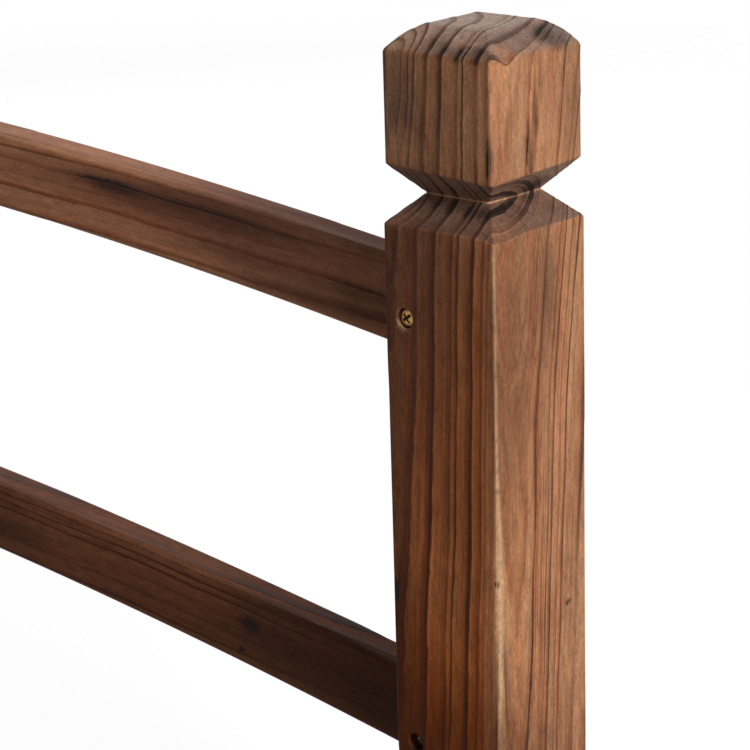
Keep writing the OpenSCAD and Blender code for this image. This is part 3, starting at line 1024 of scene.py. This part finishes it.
def rubbed_post(finish, fibre, streak):
    """Share of raw wood on a post: near an arris, within a width that grows down the front arris, and at
    the bottom of the V groove. The distance to an arris is the root of both squared insets, each with its
    weight."""
    across, depth, along = finish.split(fibre)
    squares = []
    for part, weight in zip((across, depth), RUB_WEIGHTS):
        inset = finish.calc("SUBTRACT", POST_SIDE / 2, finish.calc("ABSOLUTE", part))
        inset = finish.calc("MULTIPLY", inset, weight)
        squares.append(finish.calc("MULTIPLY", inset, inset))
    near = finish.calc("SQRT", finish.calc("ADD", *squares))
    front = finish.fade(finish.calc("SUBTRACT", across, depth), *FRONT_RANGE)
    low = finish.calc("MULTIPLY", finish.fade(along, *WORN_HEIGHTS), front)
    width = finish.calc("MULTIPLY_ADD", front, FRONT_WIDTH, RUB_WIDTH)
    width = finish.calc("MULTIPLY_ADD", low, LOW_WIDTH, width)
    edge = finish.fade(finish.calc("DIVIDE", near, width), *RUB_RANGE)
    edge = finish.calc("MULTIPLY", edge, finish.calc("MULTIPLY_ADD", front, FRONT_SHARE, RUB_SHARE))
    edge = finish.calc("MULTIPLY", edge, finish.fade(along, *RUB_HEIGHTS))
    groove = finish.fade(finish.calc("ABSOLUTE", finish.calc("SUBTRACT", along, NECK_Z)), *GROOVE_RANGE)
    worn = finish.calc("MAXIMUM", edge, finish.calc("MULTIPLY", groove, GROOVE_SHARE))
    return finish.calc("MULTIPLY", worn, finish.fade(streak, *STREAK_RANGE))


def post_heart(finish, fibre, ring):
    """Shares of four kinds of wood in a post: redder heartwood inside a radius, fading towards the cap,
    and deeper red low down; paler wood from the block up, most on the front; and the sooty groove between
    shoulder and block, a little less sooty above the neck."""
    depth, along = finish.split(fibre)[1:]
    inside = finish.fade(ring, *HEART_EDGE)
    red = finish.calc("MULTIPLY", inside, finish.fade(along, *RED_HEIGHTS))
    deep = finish.calc("MULTIPLY", inside, finish.fade(along, *DEEP_HEIGHTS))
    pale = finish.calc("MULTIPLY_ADD", finish.fade(depth, *FRONT_DEPTHS), FRONT_PALE, 1.0)
    pale = finish.calc("MULTIPLY", pale, finish.fade(along, *PALE_HEIGHTS))
    under = finish.fade(along, *UNDER_HEIGHTS)
    sooty = finish.calc("MULTIPLY_ADD", under, UNDER_SOOT, 1 - UNDER_SOOT)
    sooty = finish.calc("MULTIPLY", sooty, finish.fade(along, *SOOT_HEIGHTS))
    return red, deep, pale, sooty


print(f"raw edges {RUB_WIDTH} to {RUB_WIDTH + FRONT_WIDTH + LOW_WIDTH} mm wide")

# %% [markdown]
# ## Burns on the first post
# Knots and burns give a timber its own face. They could be scattered by a seeded random draw, but these
# sit where fire catches first: on the cap's bevels, in the groove, along the block's edges and round a
# screw. Each is (centre, reach, strength), with places as (across, depth, height) from the post's foot.
# Round the upper screw, whose hole was drilled after the scorching, the wood is bare.

# %% Place the right post's burns
top_screw_place = np.mean(screw_boxes["right_top_screw"], axis=0)
lower_screw_place = np.mean(screw_boxes["right_lower_screw"], axis=0)
KNOTS = [
    ((-35, -34, 262), (5, 6, 9), 3.0), ((34.5, -34.5, 280), (2.2, 2.2, 4), 2.4),
    ((35, -33, 329), (3.0, 3.0, 1.6), 1.2), ((35, 20, 254), (2, 2.6, 2.8), 2.4),
]
BLOCK_STREAKS = [
    ((31, -35, 504), (3, 3, 34), 0.35), ((32.5, -34, 490), (2.6, 3, 14), 1.8),
    ((26, -34, 508), (2.0, 3, 22), 0.3), ((4, -34, 510), (2.4, 3, 28), 0.55),
    ((-10, -34, 500), (2.2, 3, 18), 0.35), ((34, -6, 491), (3, 4, 18), 1.9),
    ((34, -1.5, 509), (3, 3.2, 18), 1.6), ((34, 3, 527), (3, 3, 16), 0.9),
]
CROWN_BURNS = [
    ((-4, -29, 542), (10, 10, 9), 0.8), ((12, -32, 539.5), (22, 7, 6), 1.3),
    ((28, -31, 539.5), (12, 8, 5.5), 1.2), ((26, 12, 544), (10, 11, 9), 1.6),
    ((24, 25, 544), (13, 12, 10), 1.5), ((31, 19, 540.5), (8, 10, 7), 1.4),
    ((8, 28, 546), (14, 9, 7), 0.9),
]
GROOVE_BURNS = [
    ((-8, -24, 463), (28, 7, 7), 0.95), ((24, -10, 463), (8, 24, 7), 1.25),
    ((-25, -29, 458), (10, 7, 6), 0.35), ((27, 17, 459), (6, 7, 6), 0.8),
    ((24, -2, 476), (12, 30, 12), 1.15), ((-8, -25, 474), (24, 9, 8), 0.4),
    ((19, -25, 476), (9, 10, 9), 1.1), ((23, 9, 471), (9, 15, 10), 2.4),
    ((17, -25, 463), (13, 7, 7), 1.9),
]
SCREW_BURNS = [((lower_screw_place[0], -30, lower_screw_place[2]), (8, 7, 8), 0.8)]
SCREW_BARES = [((top_screw_place[0] - 0.5, -35, top_screw_place[2] - 0.6), (5.7, 3, 5.8), 0.38)]
RIGHT_BURNS = KNOTS + BLOCK_STREAKS + CROWN_BURNS + GROOVE_BURNS + SCREW_BURNS
print("right post:", len(RIGHT_BURNS), "burns and knots")

# %% [markdown]
# ## Stains on the first post
# Smoke browned the upper shaft, ash greyed the bevels, and oil ran down and gathered low on the post.
# Patches as wide as these could be one vertical gradient, but then both faces would darken alike, and on
# the real post each face has its own story. A stain is written like a burn, with its colour at the end.

# %% Stain and dress the right post
UPPER_STAINS = [
    ((-24, -35, 425), (60, 10, 150), 0.75, SMOKE_AND_SHADE), ((36, -24, 405), (10, 34, 130), 0.62, SMOKE_AND_SHADE),
    ((35, 5, 425), (6, 16, 60), 0.5, SMOKE_AND_SHADE), ((28, 0, 460), (10, 34, 10), 0.3, SMOKE_AND_SHADE),
]
CAP_STAINS = [
    ((33, 33, 512), (8, 34, 50), 0.4, SMOKE_AND_SHADE), ((27, -4, 544), (14, 40, 12), 0.6, ASH),
    ((28, 20, 543), (12, 20, 12), 0.6, ASH), ((28, 25, 543), (12, 12, 9), 0.3, DUSTY),
    ((-28, -34, 514), (24, 8, 34), 0.38, ASH), ((-24, -34, 490), (18, 8, 15), 0.8, STRAW),
    ((27, -34, 514), (9, 6, 36), 0.75, EARLY_PALE_AND_HIGHLIGHT), ((-28, -31, 457), (13, 9, 9), 0.3, STRAW),
]
LOW_STAINS = [
    ((-35, -35, 315), (22, 10, 115), 0.65, SMOKE_AND_SHADE), ((-35, -35, 190), (34, 12, 130), 0.8, MAHOGANY),
    ((5, -35, 165), (60, 10, 75), 0.6, MAHOGANY), ((36, -20, 160), (10, 60, 75), 0.5, MAHOGANY),
    ((36, -28, 170), (8, 8.5, 85), 0.95, TAN), ((35, 27, 235), (6, 14, 90), 0.6, EARLY_PALE_AND_HIGHLIGHT),
]
RIGHT_STAINS = UPPER_STAINS + CAP_STAINS + LOW_STAINS
right_wood = wood_finish("right_post_wood", RIGHT_TREE, 2, rubbed_post, post_heart,
                         RIGHT_BURNS, RIGHT_STAINS, SCREW_BARES)
dress(right_post, "right_post", RIGHT_TREE, places_mm(right_post), right_wood)
print("right post:", len(RIGHT_STAINS), "stains")

# %% [markdown]
# ## Marks on the second post
# The second post has the same finish with fewer marks of its own. They could be the first post's,
# mirrored, but then the two ends would match too well. Its places are taken from its own axis, so the
# same functions serve it.

# %% Mark and dress the left post
LEFT_BURNS = [
    ((20, -35, 512), (3, 3, 14), 0.7), ((-35, 8, 500), (3, 3, 16), 0.8), ((-12, -30, 541), (14, 5, 4), 0.7),
    ((-30, 12, 542), (5, 12, 4), 0.7), ((8, -25, 464), (18, 5, 4), 0.7), ((-25, 0, 464), (5, 18, 4), 0.7),
    ((-35, -20, 300), (3, 5, 6), 0.7), ((4, 35, 210), (6, 3, 5), 0.7),
]
LEFT_STAINS = [((20, -35, 410), (50, 10, 140), 0.4, SMOKE_AND_SHADE), ((-34, 10, 505), (6, 24, 40), 0.3, ASH)]
left_wood = wood_finish("left_post_wood", LEFT_TREE, 2, rubbed_post, post_heart, LEFT_BURNS, LEFT_STAINS)
dress(left_post, "left_post", LEFT_TREE, places_mm(left_post) - [LEFT_POST_X, 0, 0], left_wood)
print("left post:", len(LEFT_BURNS), "burns and knots,", len(LEFT_STAINS), "stains")

# %% [markdown]
# ## Finish of the rails
# The rails are the same scorched timber, from other boards: the top one is tinted lighter and the
# lower one darker. They have no heartwood, and only their rounded edges are lightened, partly by
# rubbed raw wood and partly by a painted highlight. One material for all four timbers would be
# shorter, but rings, contrast and tint belong to each board.

# %% Rub a rail
RAIL_RUB_INNER, RAIL_RUB_OUTER, RAIL_STREAK_RANGE = (3.2, 1.2), (0.15, 0.9), (0.2, 0.6)
# The rails' rub share also sets a painted highlight along their rounded edges.
RAIL_RUB_AND_HIGHLIGHT_SHARE, RAIL_PALE = 0.45, 1.2


def rubbed_and_highlit_rail(finish, fibre, streak):
    """Share of raw wood on a rail's rounded edges: a little, partly rubbed wear and partly a painted
    highlight. It rises and falls with the distance below the rail's front and back faces."""
    depth = finish.calc("ABSOLUTE", finish.split(fibre)[0])
    below = finish.calc("SUBTRACT", RAIL_THICKNESS / 2, depth)
    edge = finish.fade(below, *RAIL_RUB_INNER)
    edge = finish.calc("MULTIPLY", edge, finish.fade(below, *RAIL_RUB_OUTER))
    share = finish.calc("MULTIPLY", finish.fade(streak, *RAIL_STREAK_RANGE), RAIL_RUB_AND_HIGHLIGHT_SHARE)
    return finish.calc("MULTIPLY", edge, share)


def rail_heart(finish, fibre, ring):
    """Shares of four kinds of wood in a rail: all of it is paler, with no red heart and no soot."""
    return 0.0, 0.0, RAIL_PALE, 0.0


print(f"rails rubbed up to {RAIL_RUB_AND_HIGHLIGHT_SHARE:.0%}")

# %% [markdown]
# ## Marks on the rails
# A long dark burn on the top rail and two small knots on the lower one are patches like those on the
# posts. Near the post, patches of painted shade with some smoke darken both rails, where the post
# shades them. A painted shadow runs along the top rail's lower edge, and a painted highlight runs along
# the lower rail's upper edge. Their places are in the straight board: depth, height from the arc, and
# length from the middle of the rail. Places in the room would be easier to read off, but the marks
# would then not follow the grain.

# %% Mark and dress the rails
TOP_BURNS = [
    ((-11, 5.5, 450), (5, 5.5, 36), 2.4), ((-11, 6.2, 515), (5, 6.5, 95), 0.85),
    ((-11, 4.5, 590), (5, 8, 90), 0.5), ((-11, -12.5, 662), (5, 5.5, 66), 1.3),
    ((-11, -21, 665), (5, 3.6, 50), 1.0),
]
# Near the post, most of these smoke patches paint the post's shade on the rail, with some smoke marks.
TOP_STAINS_AND_SHADE = [
    ((-11, 4, 530), (9, 18, 210), 0.85, SMOKE_AND_SHADE), ((-11, -16, 740), (14, 30, 170), 0.6, SMOKE_AND_SHADE),
    ((0, 14, 620), (18, 6, 230), 0.8, SMOKE_AND_SHADE), ((-11, -13, 570), (9, 11, 110), 0.7, SMOKE_AND_SHADE),
    # The patch at a height of -24 paints a shadow along the rail's lower edge.
    ((-11, 13, 600), (6, 5, 110), 0.6, SMOKE_AND_SHADE), ((-11, -24, 600), (9, 7, 90), 0.8, SMOKE_AND_SHADE),
    ((-11, 0, 650), (8, 11, 40), 0.6, STRAW),
]
LOWER_BURNS = [((-11, -3, 548), (4, 7, 11), 3.0), ((-11, -20, 541), (3, 3, 3.4), 3.0)]
# Near the post, most of these smoke patches paint the post's shade on the rail, with some smoke marks.
LOWER_STAINS_SHADE_AND_HIGHLIGHT = [
    ((-11, -14, 560), (10, 20, 300), 0.32, SMOKE_AND_SHADE), ((-11, -10, 720), (14, 60, 230), 0.95, SMOKE_AND_SHADE),
    ((2, 14, 690), (18, 6, 110), 0.45, ASH), ((-11, 14, 590), (9, 10, 80), 0.9, SMOKE_AND_SHADE),
    # The pale patch at a height of 18 paints a highlight along the rail's upper rounded edge.
    ((-9, 18, 450), (5.5, 6, 130), 0.85, EARLY_PALE_AND_HIGHLIGHT), ((-11, -6, 590), (9, 20, 90), 0.75, SMOKE_AND_SHADE),
    ((-11, -8, 335), (9, 13, 48), 0.7, SMOKE_AND_SHADE),
]
top_wood = wood_finish("top_rail_wood", TOP_TREE, 0, rubbed_and_highlit_rail, rail_heart,
                       TOP_BURNS, TOP_STAINS_AND_SHADE, contrast=0.8, tint=(1.2, 1.06, 1.12))
lower_wood = wood_finish("lower_rail_wood", LOWER_TREE, 0, rubbed_and_highlit_rail, rail_heart,
                         LOWER_BURNS, LOWER_STAINS_SHADE_AND_HIGHLIGHT, contrast=1.15, tint=(0.46, 0.35, 0.315))
top_fibre = rail_fibre(places_mm(top_rail), TOP_RAIL_Z)
dress(top_rail, "top_rail", TOP_TREE, top_fibre, top_wood)
lower_fibre = rail_fibre(places_mm(lower_rail), LOWER_RAIL_Z)
dress(lower_rail, "lower_rail", LOWER_TREE, lower_fibre, lower_wood)
print("rails:", len(TOP_BURNS) + len(LOWER_BURNS), "burns and knots")

# %% [markdown]
# ## Shape of the screws
# The screws are plain wood screws with a low dome and a cross recess. Only the heads show, the upper ones
# almost level with the wood and the lower ones deep in their holes. A screw is a turned surface. The
# cross could be cut by a Boolean, but a second formula that pushes the head's face inwards keeps the mesh
# even.

# %% Shape a screw
HEAD_RADIUS, HEAD_DOME, SHANK_RADIUS, POINT_LENGTH = 4.75, 1.2, 2.5, 6.0
RIM_INSET, RIM_HEIGHT, RIM_BEVEL, POINT_RADIUS = 0.25, 0.3, 0.2, 0.05
DOME_ROWS, DOME_START, SCREW_COLUMNS = 40, 0.02, 144
CROSS_ARM, CROSS_HALF_WIDTH, CROSS_DEPTH = 3.2, 0.62, 1.6
CROSS_SLOPE, CROSS_END_SLOPE, CROSS_LIMIT = 0.35, 0.9, 0.5


def cross_depth(x, z, turn):
    """Depth of the cross at a place on the head: full within the half width of either arm, and sloping to
    nothing past its sides and its end. The deeper of the two arms counts."""
    first = abs(x * np.cos(turn) + z * np.sin(turn))
    second = abs(z * np.cos(turn) - x * np.sin(turn))
    arms = []
    for wide, far in ((first, second), (second, first)):
        across = np.clip((CROSS_HALF_WIDTH - wide) / CROSS_SLOPE + 0.5, 0, 1)
        arms.append(across * np.clip((CROSS_ARM - far) / CROSS_END_SLOPE, 0, 1))
    return CROSS_DEPTH * np.maximum(*arms)


def screw_surface(node, turn):
    """Dome, rim, shank and point as one turned profile, with the cross pressed into the dome. The dome's
    depth grows with the square of the radius."""
    low, high = screw_boxes[node]
    face, tip, x, z = low[1], high[1], (low[0] + high[0]) / 2, (low[2] + high[2]) / 2
    seat = face + HEAD_HEIGHT
    rise = np.linspace(DOME_START, 1, DOME_ROWS)
    dome = np.column_stack([(HEAD_RADIUS - RIM_INSET) * rise, face + HEAD_DOME * rise ** 2])
    rim = [(HEAD_RADIUS, face + HEAD_DOME + RIM_HEIGHT), (HEAD_RADIUS, seat - RIM_BEVEL)]
    rim += [(HEAD_RADIUS - RIM_BEVEL, seat)]
    shank = [(SHANK_RADIUS, seat + 2 * SEAT_STEP), (SHANK_RADIUS, tip - POINT_LENGTH), (POINT_RADIUS, tip)]
    piece = turned(node + "_metal", np.concatenate([dome, rim, shank]), x, z, columns=SCREW_COLUMNS)
    places = places_mm(piece)
    on_head = places[:, 1] < seat - CROSS_LIMIT
    sunk = cross_depth(places[:, 0] - x, places[:, 2] - z, turn) * on_head
    places[:, 1] += sunk
    piece.data.vertices.foreach_set("co", (places * MM).astype(np.float32).ravel())
    carry(piece, "cross", sunk / CROSS_DEPTH)
    return piece


print(f"screw heads {2 * HEAD_RADIUS} mm wide, cross {CROSS_DEPTH} mm deep")

# %% [markdown]
# ## Finish of the screws
# Their zinc coat is yellow where it is fresh and dull where it is damp, and grime sits in the cross. A
# plain metal would shine like new. A cloud of noise varies the coat's colour and lays the grime, and the
# depth of the cross, which each vertex carries, adds the rest.

# %% Coat and place the screws
GRIME, MOST_GRIME, GRIME_ROUGHNESS = (0.03, 0.02, 0.012), 0.97, 0.4
CLOUDS_PER_METRE, CLOUD_RANGE, BRIGHT_COAT = 420, (0.45, 0.75), 1.25
METAL_BUMP, METAL_BUMP_DEPTH = 0.3, 0.1
SCREW_TURNS = {"right_top_screw": 35, "right_lower_screw": 12, "left_top_screw": 60, "left_lower_screw": 80}


def metal_finish(name, coat, grime_share, roughness):
    """Coated steel: the coat's colour varies a little, and grime lies in the cross and in patches."""
    finish = Finish(bpy.data.materials.new(name))
    cloud = finish.noise(finish.add("TexCoord").outputs["Object"], CLOUDS_PER_METRE, 3)
    patches = finish.fade(cloud, *CLOUD_RANGE)
    grime = finish.calc("MULTIPLY_ADD", patches, grime_share, finish.attribute("cross", "Fac"))
    colour = finish.mix(cloud, coat, tuple(BRIGHT_COAT * part for part in coat))
    finish.give("Base Color", finish.mix(finish.calc("MINIMUM", grime, MOST_GRIME), colour, GRIME))
    finish.give("Roughness", finish.calc("MULTIPLY_ADD", grime, GRIME_ROUGHNESS, roughness))
    finish.give("Metallic", 1.0)
    bump = finish.add("Bump", {"Height": cloud, "Strength": METAL_BUMP, "Distance": METAL_BUMP_DEPTH * MM})
    finish.give("Normal", bump.outputs[0])
    return finish.owner


upper_coat = metal_finish("zinc_yellow", coat=(0.33, 0.19, 0.07), grime_share=0.75, roughness=0.34)
lower_coat = metal_finish("zinc_dull", coat=(0.32, 0.23, 0.14), grime_share=0.8, roughness=0.42)
for node, degrees in SCREW_TURNS.items():
    screw = screw_surface(node, np.radians(degrees))
    smooth(screw)
    screw.data.materials.append(upper_coat if "top" in node else lower_coat)
    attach(screw, "root")
    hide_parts(node)
print("screws:", len(SCREW_TURNS))

# %% [markdown]
